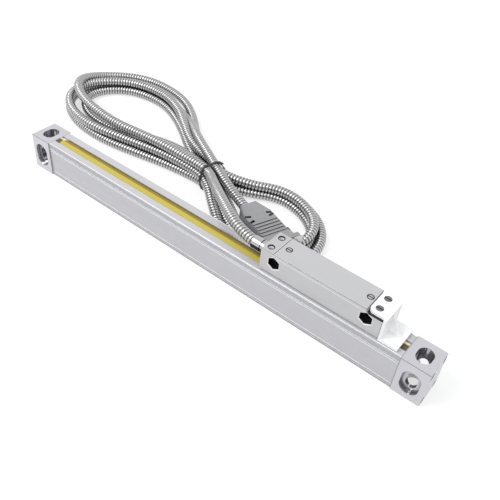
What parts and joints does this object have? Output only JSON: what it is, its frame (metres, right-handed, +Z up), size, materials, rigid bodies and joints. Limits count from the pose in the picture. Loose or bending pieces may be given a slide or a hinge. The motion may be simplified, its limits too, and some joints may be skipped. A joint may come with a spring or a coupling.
{
  "type": "linear optical scale",
  "caption": "Slim enclosed optical linear scale: slotted end blocks, lip seals over a glass scale, a sliding reading head and a tied armoured cable with a D-shaped plug.",
  "frame": {"origin": "middle of the scale's base, halfway along its length and width", "axes": "+X along the scale towards the end where the head rests, -Y the front with the sunk cross slots, +Z up"},
  "size_m": [0.3752, 0.1456, 0.042],
  "materials": {
    "housing_aluminium": "satin anodised",
    "block_aluminium": "fine machined, bright",
    "lip_rubber": "yellow, smooth",
    "gasket_rubber": "black, matt",
    "screw_steel": "plain",
    "scale_glass": "clear with a ruled track",
    "head_aluminium": "satin anodised",
    "cover_aluminium": "satin anodised",
    "circuit_board": "green lacquer",
    "ferrule_chrome": "plated",
    "spring_steel": "rolled",
    "carriage_casting": "die cast",
    "bearing_steel": "ground",
    "bracket_plastic": "white moulded",
    "dark_screw": "blackened",
    "cable_armour": "bright ribbed strip",
    "tie_plastic": "black",
    "hood_plastic": "grey, fine grain",
    "connector_tin": "tin plated",
    "insulator_plastic": "black",
    "contact_brass": "plated",
    "thumb_steel": "nickel plated"
  },
  "bodies": {
    "scale": {"housing_extrusion": "housing_aluminium", "front_lip_seal": "lip_rubber", "rear_lip_seal": "lip_rubber", "left_end_block": "block_aluminium", "right_end_block": "block_aluminium", "left_end_gasket": "gasket_rubber", "right_end_gasket": "gasket_rubber", "end_screws": "screw_steel", "glass_scale": "scale_glass", "glass_bedding": "gasket_rubber"},
    "reading_head": {"head_body": "head_aluminium", "head_cover": "cover_aluminium", "cover_gasket": "gasket_rubber", "cover_screws": "screw_steel", "head_circuit_board": "circuit_board", "cable_ferrule": "ferrule_chrome", "coupling_blade": "spring_steel", "blade_screws": "screw_steel", "carriage_frame": "carriage_casting", "roller_pins": "bearing_steel", "lamp_board": "circuit_board", "index_grating": "scale_glass", "sensor_board": "circuit_board", "transport_bracket": "bracket_plastic", "bracket_screws": "dark_screw", "head_lead": "cable_armour", "plug_lead": "cable_armour", "cable_coil": "cable_armour", "cable_tie": "tie_plastic", "hood_top_shell": "hood_plastic", "hood_bottom_shell": "hood_plastic", "connector_shell": "connector_tin", "connector_insulator": "insulator_plastic", "connector_pins": "contact_brass", "cable_clamp": "connector_tin"},
    "face_roller_left": {"face_roller_left": "bearing_steel"},
    "face_roller_middle": {"face_roller_middle": "bearing_steel"},
    "face_roller_right": {"face_roller_right": "bearing_steel"},
    "edge_roller_left": {"edge_roller_left": "bearing_steel"},
    "edge_roller_right": {"edge_roller_right": "bearing_steel"},
    "near_thumb_screw": {"near_thumb_screw": "thumb_steel"},
    "far_thumb_screw": {"far_thumb_screw": "thumb_steel"}
  },
  "joints": [
    {"name": "head_slide", "type": "slide", "parent": "scale", "child": "reading_head", "axis": [1, 0, 0], "range_m": [-0.1734, 0.0066]},
    {"name": "face_roller_left_spin", "type": "hinge", "parent": "reading_head", "child": "face_roller_left", "pos_m": [0.0674, -0.00085, 0.00725], "axis": [0, 0, 1], "continuous": true},
    {"name": "face_roller_middle_spin", "type": "hinge", "parent": "reading_head", "child": "face_roller_middle", "pos_m": [0.0834, -0.00085, 0.01255], "axis": [0, 0, 1], "continuous": true},
    {"name": "face_roller_right_spin", "type": "hinge", "parent": "reading_head", "child": "face_roller_right", "pos_m": [0.0994, -0.00085, 0.00725], "axis": [0, 0, 1], "continuous": true},
    {"name": "edge_roller_left_spin", "type": "hinge", "parent": "reading_head", "child": "edge_roller_left", "pos_m": [0.0674, 0.00345, 0.019], "axis": [0, 1, 0], "continuous": true},
    {"name": "edge_roller_right_spin", "type": "hinge", "parent": "reading_head", "child": "edge_roller_right", "pos_m": [0.0994, 0.00345, 0.019], "axis": [0, 1, 0], "continuous": true},
    {"name": "near_thumb_screw_turn", "type": "hinge", "parent": "reading_head", "child": "near_thumb_screw", "pos_m": [0.0295, 0.01571, 0.0144], "axis": [0.9336, -0.3584, 0], "continuous": true},
    {"name": "far_thumb_screw_turn", "type": "hinge", "parent": "reading_head", "child": "far_thumb_screw", "pos_m": [0.03846, 0.03905, 0.0144], "axis": [0.9336, -0.3584, 0], "continuous": true}
  ]
}
